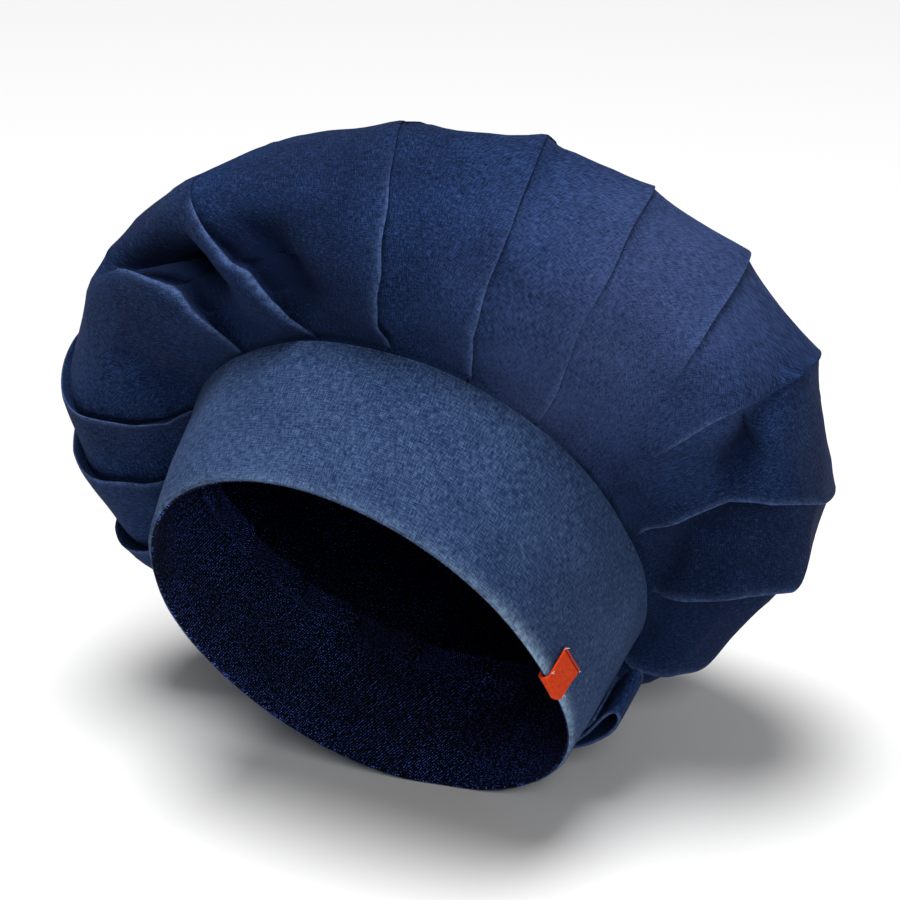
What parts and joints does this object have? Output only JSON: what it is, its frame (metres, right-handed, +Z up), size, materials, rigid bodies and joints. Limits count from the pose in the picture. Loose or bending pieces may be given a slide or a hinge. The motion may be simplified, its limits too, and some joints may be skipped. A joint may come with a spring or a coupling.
{
  "type": "chef hat",
  "caption": "Soft pleated chef hat of blue cotton with a wide plain band, a small bare tag and a bow tied at the back, lying on its side with the head opening forward.",
  "frame": {"origin": "on the surface that the hat lies on, under the centre of its bounding box", "axes": "+Z up; the head opening faces -Y and a little down; the hat's own axis rises 28 degrees towards +Y; +X is to the right as one looks into the opening along +Y"},
  "size_m": [0.3404, 0.2414, 0.2937],
  "materials": {
    "crown_cloth": "matte indigo chambray, fine plain weave",
    "band_cloth": "matte indigo chambray, fine plain weave, a little worn and paler at its edges",
    "tag_cloth": "bare woven orange tape"
  },
  "bodies": {
    "root": {"crown": "crown_cloth", "band": "band_cloth", "tag": "tag_cloth", "tie_knot": "crown_cloth", "tie_loop_right": "crown_cloth", "tie_loop_left": "crown_cloth", "tie_tail_right": "crown_cloth", "tie_tail_left": "crown_cloth"}
  },
  "joints": []
}
